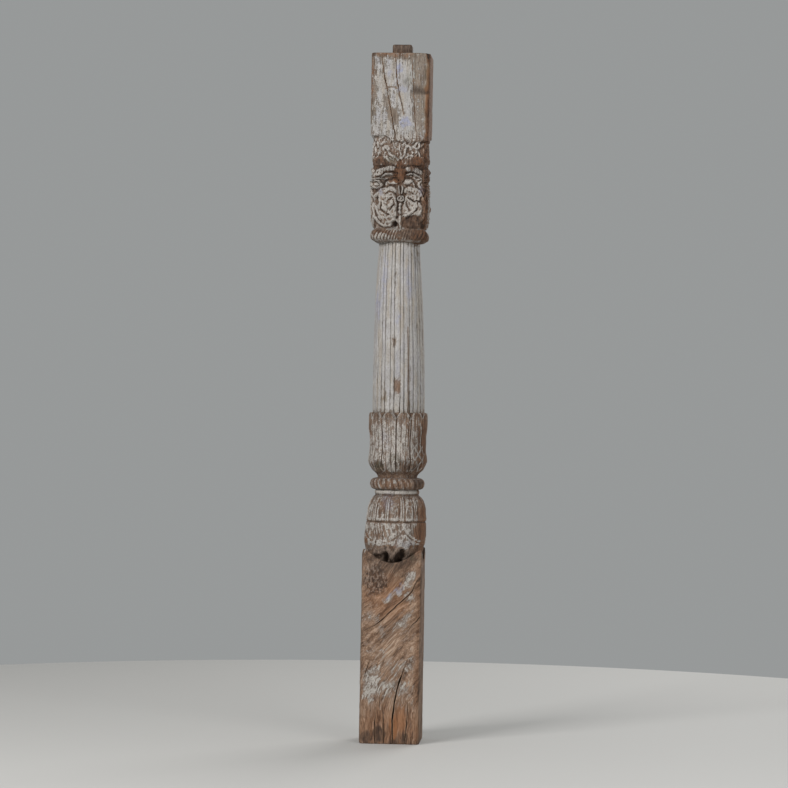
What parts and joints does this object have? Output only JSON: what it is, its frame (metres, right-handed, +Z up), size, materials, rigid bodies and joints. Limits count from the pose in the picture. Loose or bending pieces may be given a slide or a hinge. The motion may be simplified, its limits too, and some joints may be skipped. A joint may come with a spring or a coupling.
{
  "type": "carved wooden pillar",
  "caption": "Old carved timber pillar with a square foot, turned pot, ring and petal bell, fluted shaft, leaf-scroll capital and stub tenon; worn pale paint.",
  "frame": {"origin": "middle of the underside of the square foot, on the ground", "axes": "+Z up along the pillar to the tenon; the pictured front face looks to -Y, and +X is to its right"},
  "size_m": [0.1698, 0.1686, 1.887],
  "materials": {
    "painted_timber": "weathered brown hardwood with worn white, lilac and pale blue limewash-like paint, cracked and dusty"
  },
  "bodies": {
    "root": {"pillar": "painted_timber"}
  },
  "joints": []
}
